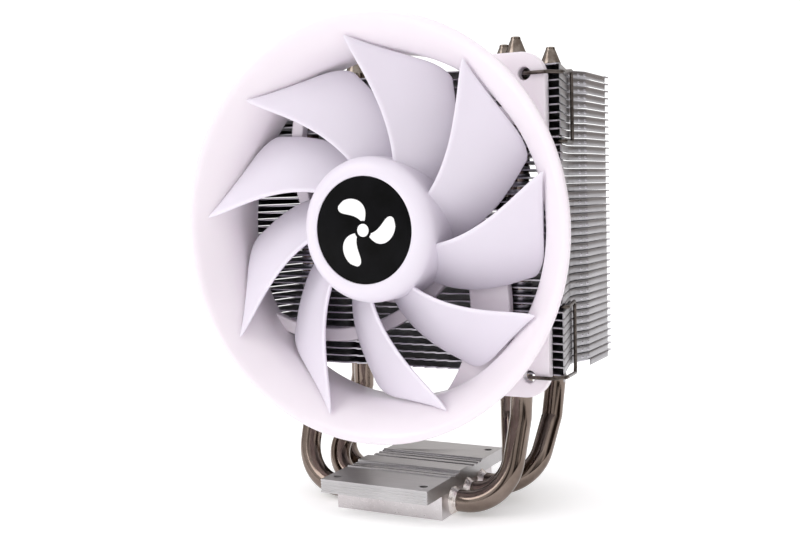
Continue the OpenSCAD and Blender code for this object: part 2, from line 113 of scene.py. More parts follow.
def patch(grid, loop_u=False, loop_v=False, caps=False):
    """(points, faces) of a grid of points, with flat ends across u if caps is set."""
    nu, nv = grid.shape[:2]
    faces = [weave(nu, nv, loop_u, loop_v)]
    if caps:
        faces.append(np.arange(nv)[None, ::-1])
        faces.append((nu - 1) * nv + np.arange(nv)[None, :])
    return grid.reshape(-1, 3), faces


def turned(profile, steps=128, closed=False, start=0.0, sweep=360.0):
    """Profile (radius, height) turned about Z: x = r cos a, y = r sin a, z = height."""
    whole = abs(sweep - 360.0) < 1e-6
    a = np.radians(start + np.linspace(0, sweep, steps, endpoint=not whole))[:, None]
    r, z = profile[None, :, 0], profile[None, :, 1]
    grid = np.stack([r * np.cos(a), r * np.sin(a), z + 0 * a], -1)
    return patch(grid, whole, closed, caps=closed and not whole)


def on_fan(part):
    """Moves a part from the fan's own axes (height is depth behind the lip) into place."""
    p, faces = part
    return np.stack([p[:, 0], FAN_Y + p[:, 2], FAN_Z + p[:, 1]], -1), faces


def placed(part, x=0.0, y=0.0, z=0.0, turn=0.0):
    """A part turned about Z by turn degrees, then moved."""
    p, faces = part
    c, s = math.cos(math.radians(turn)), math.sin(math.radians(turn))
    q = np.stack([p[:, 0] * c - p[:, 1] * s, p[:, 0] * s + p[:, 1] * c, p[:, 2]], -1)
    return q + np.array([x, y, z]), faces


def other_side(part):
    """The same part on the other side of the middle plane, x turned to -x."""
    p, faces = part
    return p * np.array([-1.0, 1.0, 1.0]), faces


def rounded(points, radius, steps=6, closed=True):
    """Corners of a flat outline replaced with arcs that meet both sides, of the given
    radius or of one radius for each corner. A corner too tight keeps half its side."""
    pts = np.asarray(points, float)
    n = len(pts)
    radius = np.broadcast_to(np.asarray(radius, float), (n,))
    out = []
    for k in range(n):
        if not closed and k in (0, n - 1):
            out.append(pts[k][None])
            continue
        a, b, c = pts[k - 1], pts[k], pts[(k + 1) % n]
        d1, d2 = (b - a), (c - b)
        l1, l2 = np.linalg.norm(d1), np.linalg.norm(d2)
        d1, d2 = d1 / l1, d2 / l2
        turn = math.acos(float(np.clip(d1 @ d2, -1, 1)))
        if radius[k] <= 0 or turn < 1e-3:
            out.append(b[None])
            continue
        reach = min(radius[k] * math.tan(turn / 2), 0.49 * l1, 0.49 * l2)
        t = np.linspace(0, 1, steps + 1)[:, None]
        p, q = b - reach * d1, b + reach * d2
        out.append((1 - t) ** 2 * p + 2 * t * (1 - t) * b + t ** 2 * q)
    return np.concatenate(out)


def bent_path(points, bend_r, steps=14):
    """Line through points in space with true arcs of radius bend_r at its corners:
    centre + r (cos a * inward + sin a * onward), as points and unit directions."""
    pts = np.asarray(points, float)
    out = [pts[:1]]
    for a, b, c in zip(pts[:-2], pts[1:-1], pts[2:]):
        d1, d2 = (b - a) / np.linalg.norm(b - a), (c - b) / np.linalg.norm(c - b)
        turn = math.acos(float(np.clip(d1 @ d2, -1, 1)))
        reach = bend_r * math.tan(turn / 2)
        side = d2 - (d2 @ d1) * d1
        side /= np.linalg.norm(side)
        ang = np.linspace(0, turn, steps)[:, None]
        out.append(b - reach * d1 + bend_r * (np.sin(ang) * d1 + (1 - np.cos(ang)) * side))
    out.append(pts[-1:])
    return np.concatenate(out)


def resample(path, step):
    """Path cut into even steps no longer than step, keeping its own points."""
    seg = np.linalg.norm(np.diff(path, axis=0), axis=1)
    s = np.concatenate([[0], np.cumsum(seg)])
    extra = np.arange(0, s[-1], step)
    at = np.unique(np.round(np.concatenate([s, extra]), 4))
    at = at[np.concatenate([[True], np.diff(at) > step * 0.2])]
    at[-1] = s[-1]
    return np.stack([np.interp(at, s, path[:, k]) for k in range(3)], -1), at


def tube(path, radius, sides=20, ripple=None):
    """Circle carried along a path without twist: each ring lies across the path's
    direction, and its first spoke is the last ring's spoke put back into its plane."""
    d = np.gradient(path, axis=0)
    d /= np.linalg.norm(d, axis=1)[:, None]
    u = np.zeros_like(path)
    first = np.cross(d[0], [0.0, 0.0, 1.0] if abs(d[0][2]) < 0.9 else [0.0, 1.0, 0.0])
    u[0] = first / np.linalg.norm(first)
    for k in range(1, len(path)):
        v = u[k - 1] - (u[k - 1] @ d[k]) * d[k]
        u[k] = v / np.linalg.norm(v)
    w = np.cross(d, u)
    a = np.linspace(0, 2 * np.pi, sides, endpoint=False)
    ring = np.cos(a)[None, :, None] * u[:, None] + np.sin(a)[None, :, None] * w[:, None]
    r = np.broadcast_to(np.asarray(radius, float), (len(path),))[:, None, None]
    if ripple is not None:
        r = r * ripple(np.arange(len(path))[:, None], a[None, :])[..., None]
    return patch(path[:, None] + r * ring, False, True, caps=True)


def rod(points, r, bend_r, sides=16, step=1.2):
    """Bent round wire with rounded ends: radius r sqrt(1 - (1 - s/r)^2) near an end."""
    path, s = resample(bent_path(points, bend_r, 8), step)
    d0 = (path[1] - path[0]) / np.linalg.norm(path[1] - path[0])
    d1 = (path[-1] - path[-2]) / np.linalg.norm(path[-1] - path[-2])
    t = np.array([0.0, 0.15, 0.4, 0.75, 1.0])[:, None] * r * 0.6
    path = np.concatenate([path[:1] + t[:-1] * d0, path[1:-1], path[-1:] - t[:-1][::-1] * d1])
    rr = np.full(len(path), r)
    cap = r * np.sqrt(np.clip(1 - (1 - t[:-1, 0] / (0.6 * r)) ** 2, 0, 1))
    cap[0] = 0.25 * r
    rr[: len(cap)] = cap
    rr[-len(cap):] = cap[::-1]
    return tube(path, rr, sides)


def prism(outline, z0, z1, edge=0.0):
    """Flat outline (x, y) raised from z0 to z1, its rims drawn in by edge along the
    outline's own normals."""
    o = np.asarray(outline, float)
    t = np.roll(o, -1, 0) - np.roll(o, 1, 0)
    t /= np.linalg.norm(t, axis=1)[:, None] + 1e-9
    area = 0.5 * np.sum(o[:, 0] * np.roll(o[:, 1], -1) - np.roll(o[:, 0], -1) * o[:, 1])
    inward = np.stack([-t[:, 1], t[:, 0]], -1) * np.sign(area)
    rims = [(0, z0), (0, z1)] if edge == 0 else [
        (edge, z0), (edge * 0.3, z0 + edge * 0.3), (0, z0 + edge),
        (0, z1 - edge), (edge * 0.3, z1 - edge * 0.3), (edge, z1)]
    grid = np.stack([np.c_[o + k * inward, np.full(len(o), z)] for k, z in rims])
    return patch(grid, False, True, caps=True)


def piece(name, parts, finish, body="cooler", sharp=35.0, stands_for=()):
    """One object from several (points, faces) parts, its poles closed, its faces turned
    outwards and its edges kept sharp where they turn more than the given angle."""
    points, counts, loops, base = [], [], [], 0
    for p, faces in parts:
        points.append(p)
        for f in faces:
            loops.append((f + base).ravel())
            counts.append(np.full(len(f), f.shape[1]))
        base += len(p)
    points = np.concatenate(points) * MM
    loops, counts = np.concatenate(loops), np.concatenate(counts)
    mesh = bpy.data.meshes.new(name)
    mesh.vertices.add(len(points))
    mesh.vertices.foreach_set("co", points.astype(np.float32).ravel())
    mesh.loops.add(len(loops))
    mesh.loops.foreach_set("vertex_index", loops.astype(np.int32))
    mesh.polygons.add(len(counts))
    starts = np.concatenate([[0], np.cumsum(counts)[:-1]])
    mesh.polygons.foreach_set("loop_start", starts.astype(np.int32))
    mesh.update(calc_edges=True)
    bm = bmesh.new()
    bm.from_mesh(mesh)
    bmesh.ops.remove_doubles(bm, verts=bm.verts, dist=2e-7)
    bmesh.ops.dissolve_degenerate(bm, edges=bm.edges, dist=1e-8)
    bmesh.ops.recalc_face_normals(bm, faces=bm.faces)
    bm.to_mesh(mesh)
    bm.free()
    mesh.validate()
    mesh.shade_smooth()
    mesh.set_sharp_from_angle(angle=math.radians(sharp))
    mesh.materials.append(finish)
    ob = bpy.data.objects.new(name, mesh)
    bpy.context.scene.collection.objects.link(ob)
    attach(ob, body)
    if stands_for:
        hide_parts(*stands_for)


def eased_copy(node, name, finish, width):
    """The CAD node's own shape with its flat faces made whole and its edges eased."""
    source = frame["nodes"][node]
    mesh = source.data.copy()
    mesh.materials.clear()
    mesh.materials.append(finish)
    bm = bmesh.new()
    bm.from_mesh(mesh)
    bmesh.ops.remove_doubles(bm, verts=bm.verts, dist=1e-6)
    bmesh.ops.dissolve_limit(bm, angle_limit=math.radians(1.0), verts=bm.verts, edges=bm.edges)
    bmesh.ops.recalc_face_normals(bm, faces=bm.faces)
    bm.to_mesh(mesh)
    bm.free()
    mesh.shade_smooth()
    mesh.set_sharp_from_angle(angle=math.radians(30))
    ob = bpy.data.objects.new(name, mesh)
    bpy.context.scene.collection.objects.link(ob)
    ease = ob.modifiers.new("ease", "BEVEL")
    ease.width = width * MM
    ease.segments = 2
    ease.limit_method = "ANGLE"
    ease.angle_limit = math.radians(35)
    ease.use_clamp_overlap = True
    ease.harden_normals = True
    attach(ob, "cooler")
    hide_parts(node)


# --------------------------------------------------------------- finishes
class Finish:
    """A material under construction: its node tree, its shader, and object coordinates."""

    def __init__(self, name, colour, rough, metal=0.0, **sockets):
        self.mat = bpy.data.materials.new(name)
        self.mat.use_nodes = True
        self.tree = self.mat.node_tree
        self.shader = self.tree.nodes["Principled BSDF"]
        self.shader.inputs["Base Color"].default_value = (*colour, 1)
        self.shader.inputs["Roughness"].default_value = rough
        self.shader.inputs["Metallic"].default_value = metal
        for key, value in sockets.items():
            self.shader.inputs[key.replace("_", " ")].default_value = value
        self.where = self.node("ShaderNodeTexCoord").outputs["Object"]

    def node(self, kind, **settings):
        """A new node of a kind, with its settings."""
        n = self.tree.nodes.new(kind)
        for key, value in settings.items():
            setattr(n, key, value)
        return n

    def link(self, a, b):
        """Joins an output to an input."""
        self.tree.links.new(a, b)

    def stretch(self, scale):
        """Object coordinates scaled along X, Y and Z, which draws a noise out into lines."""
        m = self.node("ShaderNodeMapping")
        m.inputs["Scale"].default_value = scale
        self.link(self.where, m.inputs["Vector"])
        return m.outputs["Vector"]

    def noise(self, scale, detail=3.0, rough=0.55, at=None, warp=0.0):
        """Cloudy noise, scale clouds to the metre, at the object's or the given places."""
        n = self.node("ShaderNodeTexNoise")
        n.inputs["Scale"].default_value = scale
        n.inputs["Detail"].default_value = detail
        n.inputs["Roughness"].default_value = rough
        n.inputs["Distortion"].default_value = warp
        self.link(at or self.where, n.inputs["Vector"])
        return n.outputs["Fac"]

    def ramp(self, fac, first, last):
        """Colour between two (position, colour) stops."""
        r = self.node("ShaderNodeValToRGB")
        for stop, (position, colour) in zip(r.color_ramp.elements, (first, last)):
            stop.position = position
            stop.color = (*colour, 1)
        self.link(fac, r.inputs["Fac"])
        return r.outputs["Color"]

    def span(self, fac, a, b, lo, hi):
        """The value's range from a to b spread from lo to hi."""
        m = self.node("ShaderNodeMapRange")
        for key, value in (("From Min", a), ("From Max", b), ("To Min", lo), ("To Max", hi)):
            m.inputs[key].default_value = value
        self.link(fac, m.inputs["Value"])
        return m.outputs["Result"]

    def blend(self, a, share, b):
        """a times a share, plus b."""
        m = self.node("ShaderNodeMath", operation="MULTIPLY_ADD")
        self.link(a, m.inputs[0])
        m.inputs[1].default_value = share
        self.link(b, m.inputs[2])
        return m.outputs[0]

    def colour(self, out):
        """The surface's colour comes from out."""
        self.link(out, self.shader.inputs["Base Color"])

    def rough(self, out):
        """The surface's roughness comes from out."""
        self.link(out, self.shader.inputs["Roughness"])

    def bump(self, height, depth, strength):
        """Relief of the given depth in millimetres."""
        b = self.node("ShaderNodeBump")
        b.inputs["Strength"].default_value = strength
        b.inputs["Distance"].default_value = depth * MM
        self.link(height, b.inputs["Height"])
        self.link(b.outputs["Normal"], self.shader.inputs["Normal"])


def moulded(name, colour, shade, rough, grain=0.03, coat=0.0, glow=0.0):
    """Moulded plastic: slow drift between two tones, fine pitted grain, uneven gloss, and
    some light let through where glow is set."""
    f = Finish(name, colour, rough, 0.0, Coat_Weight=coat, Coat_Roughness=0.12, IOR=1.5)
    if glow:
        f.shader.inputs["Subsurface Weight"].default_value = glow
        f.shader.inputs["Subsurface Radius"].default_value = (1.0, 0.8, 0.9)
        f.shader.inputs["Subsurface Scale"].default_value = 0.002
    f.colour(f.ramp(f.noise(22, 3), (0.3, shade), (0.7, colour)))
    f.rough(f.span(f.noise(140, 4), 0.3, 0.7, rough - 0.05, rough + 0.07))
    f.bump(f.noise(2600, 2, 0.6), grain, 0.5)
    return f.mat


def rolled_sheet():
    """Rolled aluminium: fine lines along X, faint smudges, a slightly cool grey."""
    f = Finish("rolled_fin_sheet", (0.52, 0.51, 0.55), 0.34, 1.0)
    lines = f.noise(900, 3, 0.6, f.stretch((0.04, 1.0, 1.0)))
    blots = f.noise(28, 3, 0.6)
    f.colour(f.ramp(blots, (0.3, (0.45, 0.44, 0.48)), (0.7, (0.57, 0.56, 0.60))))
    f.rough(f.span(lines, 0.3, 0.7, 0.28, 0.42))
    f.bump(lines, 0.01, 0.5)
    return f.mat


def shaded_fold_wall():
    """Side walls of the fins: satin, with fine lines along the fold and soft patches. They are
    the same sheet as the flat fins, set darker than it as painted shade."""
    # Painted shade: the base tone and the blot tones below are the fin sheet's aluminium set darker.
    f = Finish("fin_wall_painted_shade", (0.34, 0.335, 0.35), 0.34, 1.0)
    lines = f.noise(700, 3, 0.6, f.stretch((0.3, 0.05, 1.0)))
    blots = f.noise(35, 3, 0.6)
    f.colour(f.ramp(blots, (0.3, (0.31, 0.305, 0.32)), (0.7, (0.38, 0.375, 0.39))))
    f.rough(f.span(lines, 0.3, 0.7, 0.26, 0.4))
    f.bump(lines, 0.015, 0.5)
    return f.mat


def plated_pipe():
    """Plated tube: dark bronze mirror with drawn lines, pin marks and faint haze."""
    f = Finish("nickel_plated_tube", (0.19, 0.145, 0.12), 0.1, 1.0)
    haze = f.noise(60, 4, 0.65)
    pits = f.noise(1500, 2, 0.5)
    drawn = f.noise(1400, 2, 0.5, f.stretch((1.0, 1.0, 0.05)))
    f.colour(f.ramp(haze, (0.25, (0.13, 0.098, 0.08)), (0.75, (0.26, 0.21, 0.18))))
    f.rough(f.span(haze, 0.3, 0.7, 0.07, 0.17))
    f.bump(f.blend(drawn, 0.5, pits), 0.012, 0.35)
    return f.mat


def crimped_tip():
    """Dark metal of the swaged and welded pipe ends, with fine turned rings."""
    f = Finish("crimped_pipe_tip", (0.22, 0.18, 0.15), 0.16, 1.0)
    rings = f.noise(1600, 2, 0.5, f.stretch((0.1, 0.1, 1.0)))
    f.colour(f.ramp(f.noise(300, 3), (0.3, (0.14, 0.11, 0.09)), (0.7, (0.30, 0.26, 0.225))))
    f.rough(f.span(f.noise(400, 3), 0.3, 0.7, 0.1, 0.22))
    f.bump(rings, 0.02, 0.5)
    return f.mat


def extruded_plate():
    """Extruded aluminium plate: die lines that run along X, satin, a little stained."""
    f = Finish("extruded_plate", (0.48, 0.47, 0.475), 0.4, 1.0)
    lines = f.noise(1100, 4, 0.65, f.stretch((0.015, 1.0, 1.0)))
    stain = f.noise(40, 4, 0.6)
    f.colour(f.ramp(stain, (0.3, (0.44, 0.43, 0.435)), (0.7, (0.54, 0.53, 0.535))))
    f.rough(f.span(lines, 0.3, 0.7, 0.3, 0.46))
    f.bump(lines, 0.03, 0.6)
    return f.mat


def milled_block():
    """Milled block: bright, with cutter lines along Y and soft clouding."""
    f = Finish("milled_block", (0.62, 0.59, 0.60), 0.3, 1.0)
    lines = f.noise(1300, 3, 0.6, f.stretch((1.0, 0.02, 1.0)))
    cloud = f.noise(55, 3)
    f.colour(f.ramp(cloud, (0.3, (0.57, 0.53, 0.54)), (0.7, (0.68, 0.65, 0.66))))
    f.rough(f.span(lines, 0.3, 0.7, 0.24, 0.4))
    f.bump(lines, 0.015, 0.5)
    return f.mat


def solder_bead():
    """Solder: bright, lumpy and rounded."""
    f = Finish("solder_bead", (0.78, 0.74, 0.72), 0.22, 1.0)
    lumps = f.noise(420, 4, 0.6, warp=0.6)
    f.colour(f.ramp(lumps, (0.3, (0.62, 0.55, 0.51)), (0.65, (0.84, 0.80, 0.78))))
    f.rough(f.span(lumps, 0.3, 0.7, 0.14, 0.38))
    f.bump(lumps, 0.25, 0.7)
    return f.mat


def spring_wire():
    """Dark spring wire: drawn lines, worn brighter in spots."""
    f = Finish("dark_spring_wire", (0.09, 0.08, 0.075), 0.3, 1.0)
    worn = f.noise(260, 4, 0.65)
    f.colour(f.ramp(worn, (0.4, (0.05, 0.041, 0.036)), (0.72, (0.17, 0.145, 0.13))))
    f.rough(f.span(worn, 0.3, 0.7, 0.24, 0.42))
    f.bump(f.noise(2200, 2), 0.01, 0.4)
    return f.mat


def gloss_badge():
    """Black gloss film of the hub's round badge, with the faintest orange peel."""
    f = Finish("black_badge_film", (0.004, 0.004, 0.004), 0.2, 0.0, Specular_IOR_Level=0.06)
    drift = f.noise(120, 2)
    f.colour(f.ramp(drift, (0.3, (0.002, 0.002, 0.002)), (0.7, (0.005, 0.005, 0.006))))
    f.rough(f.span(f.noise(300, 3), 0.3, 0.7, 0.12, 0.22))
    f.bump(f.noise(800, 2), 0.008, 0.4)
    return f.mat


def badge_ink():
    """Pale ink of the fan pictogram on the badge."""
    f = Finish("pale_badge_ink", (0.90, 0.88, 0.90), 0.4)
    f.colour(f.ramp(f.noise(500, 3), (0.3, (0.87, 0.86, 0.87)), (0.7, (0.93, 0.92, 0.93))))
    f.rough(f.span(f.noise(700, 2), 0.3, 0.7, 0.34, 0.48))
    f.bump(f.noise(2500, 2), 0.01, 0.4)
    return f.mat


def motor_metal(name, a, b, rough, scale=(1, 1, 1), metal=1.0, size=900, depth=0.03):
    """Plain shop metal or resin for the motor's inner pieces: two tones and fine lines."""
    f = Finish(name, a, rough, metal)
    lines = f.noise(size, 3, 0.6, f.stretch(scale))
    f.colour(f.ramp(lines, (0.3, a), (0.7, b)))
    f.rough(f.span(f.noise(200, 3), 0.3, 0.7, rough - 0.06, rough + 0.08))
    f.bump(lines, depth, 0.5)
    return f.mat


def wound_copper():
    """Enamelled copper wire: fine parallel turns round each pole."""
    f = Finish("enamelled_copper", (0.62, 0.25, 0.12), 0.3, 1.0)
    wave = f.node("ShaderNodeTexWave", wave_type="BANDS", bands_direction="Y")
    wave.inputs["Scale"].default_value = 400
    wave.inputs["Distortion"].default_value = 0.4
    f.link(f.where, wave.inputs["Vector"])
    f.colour(f.ramp(wave.outputs["Fac"], (0.2, (0.4, 0.14, 0.06)), (0.7, (0.72, 0.32, 0.16))))
    f.rough(f.span(f.noise(300, 3), 0.3, 0.7, 0.24, 0.4))
    f.bump(wave.outputs["Fac"], 0.12, 0.7)
    return f.mat


DUCT = moulded("white_duct_plastic", (0.86, 0.80, 0.855), (0.83, 0.77, 0.825), 0.34,
               grain=0.012, coat=0.25, glow=0.12)
BLADE = moulded("pale_blade_plastic", (0.80, 0.755, 0.845), (0.77, 0.725, 0.81), 0.40,
                grain=0.015, coat=0.15, glow=0.10)
INNER = moulded("cream_insulator", (0.72, 0.68, 0.58), (0.66, 0.62, 0.52), 0.5)
PAD = moulded("black_pad", (0.02, 0.02, 0.02), (0.03, 0.03, 0.03), 0.5)
# The fold walls' finish is the fin sheet's metal with painted shade, darker than the flat sheet.
FIN, FOLD_PAINTED_SHADE = rolled_sheet(), shaded_fold_wall()
PIPE, TIP = plated_pipe(), crimped_tip()
PLATE, BLOCK, SOLDER = extruded_plate(), milled_block(), solder_bead()
WIRE, FILM, INK = spring_wire(), gloss_badge(), badge_ink()


# ------------------------------------------------------------- fan: frame
def funnel(d):
    """Inner radius of the duct at depth d: throat + (lip - throat) (1 - d / flare)^2."""
    return THROAT_R + (LIP_R - LIP - THROAT_R) * np.clip(1 - d / FLARE, 0, 1) ** 2


def duct_parts():
    """The duct's wall: the funnel inside, the same curve a wall's thickness out, and a
    flat front lip with rolled edges, turned about the fan's axis."""
    d = np.linspace(0.55, FLARE, 26)
    inner = np.c_[funnel(d), d]
    throat = np.array([
        [THROAT_R, FAN_REAR - 0.5], [THROAT_R + 0.15, FAN_REAR - 0.12], [THROAT_R + 0.5, FAN_REAR]])
    back = np.array([[THROAT_R + WALL - 0.4, FAN_REAR], [THROAT_R + WALL, FAN_REAR - 0.4]])
    outer_d = np.linspace(FLARE - 1, 2.6, 22)
    outer = np.c_[funnel(outer_d) + WALL, outer_d]
    lip = np.array([
        [LIP_R - 0.35, 1.9], [LIP_R - 0.06, 1.6], [LIP_R, 1.2], [LIP_R, 0.5], [LIP_R - 0.14, 0.15],
        [LIP_R - 0.45, 0.0], [LIP_R - LIP + 0.75, 0.0], [LIP_R - LIP + 0.25, 0.12]])
    return [on_fan(turned(np.concatenate([inner, throat, back, outer, lip]), 220, closed=True))]


def ear_parts():
    """Each ear is a ring round its screw hole: its outer edge is the nearest of the two
    straight sides, the rounded corner and the duct's wall along each spoke."""
    a = np.radians(np.linspace(0, 360, 120, endpoint=False))
    c, s = np.cos(a), np.sin(a)
    h = EAR_PITCH / 2
    side = EAR_HALF - h
    far = np.full_like(a, 99.0)
    with np.errstate(divide="ignore", invalid="ignore"):
        far = np.where(c > 1e-6, np.minimum(far, side / c), far)
        far = np.where(s > 1e-6, np.minimum(far, side / s), far)
    k = EAR_HALF - EAR_R - h
    b = k * c + k * s
    corner = b + np.sqrt(np.maximum(b * b - 2 * k * k + EAR_R ** 2, 0))
    beyond = (corner * c > k) & (corner * s > k) & (corner > 0)
    far = np.where(beyond, np.minimum(far, corner), far)
    wall = THROAT_R + WALL * 0.6
    b = h * c + h * s
    disc = b * b - (2 * h * h - wall ** 2)
    hit = np.where((disc > 0) & (b < 0), -b - np.sqrt(np.maximum(disc, 0)), 99.0)
    far = np.minimum(far, hit)
    z0, z1 = FAN_REAR - EAR_T, FAN_REAR
    # Each row round the ear: whether it lies on the outer edge, how far off it, its height
    rows = [(0, 0.0, z0 + 0.4), (0, 0.35, z0), (1, -0.5, z0), (1, -0.12, z0 + 0.15), (1, 0.0, z0 + 0.5),
            (1, 0.0, z1 - 0.4), (1, -0.4, z1), (0, 0.3, z1), (0, 0.0, z1 - 0.3)]
    r = np.stack([(far if outer else EAR_HOLE + 0 * a) + extra for outer, extra, _ in rows], 1)
    z = np.broadcast_to(np.array([row[2] for row in rows])[None], r.shape)
    grid = np.stack([h + r * c[:, None], h + r * s[:, None], z], -1)
    ear = patch(grid, True, True)
    return [on_fan(placed(ear, turn=90 * i)) for i in range(4)]


def strut_part(turn, r0, r1, start=0.0, stop=180.0):
    """A strut of radii r0 to r1 round a centre STRUT_OFF from the fan's axis. Each line of
    its rounded profile runs from the start angle to the stop angle, or to where its circle
    meets the duct's wall, whose cosine is (off^2 + r^2 - wall^2) / (2 off r)."""
    z0 = FAN_REAR - STRUT_H
    outline = rounded([(r0, z0), (r1, z0), (r1, FAN_REAR), (r0, FAN_REAR)], 0.8, 5)
    r, z = outline[None, :, 0], outline[None, :, 1]
    wall = THROAT_R + WALL / 2
    end = np.arccos((STRUT_OFF ** 2 + r ** 2 - wall ** 2) / (2 * STRUT_OFF * r))
    end, first = np.minimum(end, math.radians(stop)), math.radians(start)
    a = first + np.linspace(0, 1, 48)[:, None] * (end - first)
    grid = np.stack([r * np.cos(a) - STRUT_OFF, -r * np.sin(a), z + 0 * a], -1)
    return on_fan(placed(patch(grid, False, True, caps=True), turn=turn))


def strut_parts():
    """Four curved struts, one of them widened for the motor's lead, the round plate that
    they hold behind the motor, and the tube for its bearing."""
    inner, outer = STRUT_R - STRUT_W / 2, STRUT_R + STRUT_W / 2
    turns = [90 * i - STRUT_FIRST for i in range(4)]
    parts = [strut_part(turns[i], inner, outer) for i in (0, 2, 3)]
    parts.append(strut_part(turns[1], inner, outer, stop=LEAD_START + 0.5))
    parts.append(strut_part(turns[1], inner - LEAD_IN, outer + LEAD_OUT, start=LEAD_START))
    base = rounded([(0, 24), (MOTOR_R, 24), (MOTOR_R, FAN_REAR), (COVER_R + 0.6, FAN_REAR),
                    (COVER_R, FAN_REAR - 0.4), (COVER_R, 26), (0, 26)], [0, 0.6, 0.6, 0.2, 0.2, 0, 0], 4)
    base[[0, -1], 0] = 0
    parts.append(on_fan(turned(base, 96)))
    barrel = np.array([[3.5, 7.4], [3.8, 7.0], [4.7, 7.0], [5.0, 7.4], [5.0, 25.0], [3.5, 25.0]])
    parts.append(on_fan(turned(barrel, 48, closed=True)))
    return parts


piece("fan_duct", duct_parts(), DUCT, sharp=50, stands_for=("fan_frame",))
piece("fan_ears", ear_parts(), DUCT, sharp=40)
piece("fan_struts", strut_parts(), DUCT, sharp=40)


# ---------------------------------------------------------- fan: impeller
def blade_middle(u, v):
    """Middle surface of the first blade at u from hub to tip, v from leading to trailing
    edge. Depth falls from the leading edge to the rear, radius runs from inside the hub
    to a small gap off the duct, and the edge sweeps forward towards the tip. Both tip
    corners are drawn in by drop (1 - sqrt(1 - s^2)), s growing towards the corner."""
    lead = ROOT_LEAD - (ROOT_LEAD - TIP_LEAD) * u
    d = lead + (HUB_REAR - HUB_WALL - lead) * v ** 0.85
    rear = 0.97 * np.clip((v - REAR_CORNER) / (1 - REAR_CORNER), 0, 1)
    fore = 0.97 * np.clip((FORE_CORNER - v) / FORE_CORNER, 0, 1)
    drop = REAR_DROP * (1 - np.sqrt(1 - rear ** 2)) + FORE_DROP * (1 - np.sqrt(1 - fore ** 2))
    r0 = HUB_R - 1.0
    r = r0 + (funnel(d) - BLADE_GAP - drop - r0) * u
    span = ROOT_SPAN - (ROOT_SPAN - TIP_SPAN) * u ** 2
    a = np.radians(FIRST_BLADE - SWEEP * (1 - u) ** SWEEP_POWER - span * v)
    return np.stack([r * np.cos(a), r * np.sin(a), d], -1)


def blade_part():
    """Middle surface plus and minus half a thickness along its normal: 1.6 mm thick
    near the leading edge, rounded there, and thinning towards the trailing edge."""
    nu, nv = 40, 46
    u = np.linspace(0, 1, nu)[:, None] * np.ones((1, nv))
    v = (0.5 - 0.5 * np.cos(np.linspace(0, np.pi, nv)))[None, :] * np.ones((nu, 1))
    e = 0.004
    m = blade_middle(u, v)
    du = blade_middle(np.clip(u + e, 0, 1), v) - blade_middle(np.clip(u - e, 0, 1), v)
    dv = blade_middle(u, np.clip(v + e, 0, 1)) - blade_middle(u, np.clip(v - e, 0, 1))
    n = np.cross(du, dv)
    n /= np.linalg.norm(n, axis=-1)[..., None]
    t = BLADE_HALF_T * np.sqrt(np.clip(1 - (1 - v / 0.05) ** 2, 0, 1)) * (v < 0.05)
    t = t + (v >= 0.05) * (BLADE_HALF_T - 0.3 * (v - 0.05))
    t = t * np.clip(np.sqrt(np.clip((1 - v) / 0.02, 0, 1)), 0.15, 1)
    t = np.maximum(t, 0.08) * np.clip(0.55 + 0.45 * np.sqrt(np.clip((1 - u) / 0.02, 0, 1)), 0, 1)
    front, back = m + n * t[..., None], m - n * t[..., None]
    loop = np.concatenate([front, back[:, ::-1]], 1)
    return patch(loop, False, True, caps=True)


def hub_parts():
    """Hub cup: a flat ring round the badge, a rolled shoulder, a straight skirt and the
    hollow behind, turned about the axis. The badge lies in a shallow seat."""
    a = np.radians(np.linspace(0, 90, 18))
    edge = BADGE_R + 1.4
    dome = np.c_[edge + (HUB_R - edge) * np.sin(a), BADGE_D + HUB_ROUND * (1 - np.cos(a))]
    seat = np.array([[0, BADGE_D + 0.6], [BADGE_R + 0.1, BADGE_D + 0.6], [BADGE_R + 0.1, BADGE_D + 0.15],
                     [BADGE_R + 0.3, BADGE_D]])
    skirt = np.array([[HUB_R, HUB_REAR - 0.4], [HUB_R - 0.4, HUB_REAR], [HUB_R - HUB_WALL, HUB_REAR],
                      [HUB_R - HUB_WALL, 5.0], [0, 5.0]])
    return [on_fan(turned(np.concatenate([seat, dome, skirt]), 144))]


def fan_mark_parts():
    """Pictogram of a three-bladed fan: each petal spans radius 3.4 to 13 and is skewed
    along its length, its width a half wave of the radius; a round dot in the middle."""
    u = np.linspace(0, 1, 26)[:, None]
    v = np.linspace(-1, 1, 14)[None, :]
    top, z = BADGE_D - 0.1, BADGE_D + 0.05
    parts = []
    for k in range(3):
        r = 3.4 + 9.6 * u
        half = 30.0 * np.sin(np.pi * (0.12 + 0.86 * u)) ** 0.55 * (1 - 0.25 * (1 - u))
        a = np.radians(90 + 120 * k + 42 * u + half * v)
        flat = np.stack([r * np.cos(a), r * np.sin(a), top + 0 * a], -1)
        rim = np.concatenate([flat[0], flat[1:, -1], flat[-1, ::-1][1:], flat[::-1, 0][1:-1]])
        lower = rim.copy()
        lower[:, 2] = z
        parts.append(on_fan(patch(flat)))
        parts.append(on_fan(patch(np.stack([rim, lower]), False, True)))
        parts.append(on_fan((lower[::-1], [np.arange(len(lower))[None]])))
    dot = np.array([[0, top], [2.1, top], [2.3, top + 0.06], [2.3, z], [0, z]])
    parts.append(on_fan(turned(dot, 40)))
    return parts


one_blade = blade_part()
piece("fan_blades", [on_fan(placed(one_blade, turn=360 / BLADES * i)) for i in range(BLADES)],
      BLADE, "fan_rotor", 45, ("impeller",))
piece("fan_hub", hub_parts(), BLADE, "fan_rotor", 40)
badge = np.array([[0, BADGE_D], [BADGE_R - 0.35, BADGE_D], [BADGE_R - 0.1, BADGE_D + 0.08],
                  [BADGE_R, BADGE_D + 0.3], [BADGE_R, BADGE_D + 0.58], [0, BADGE_D + 0.58]])
piece("badge_disc", [on_fan(turned(badge, 120))], FILM, "fan_rotor", 40, ("hub_badge",))
piece("badge_fan_mark", fan_mark_parts(), INK, "fan_rotor", 30)


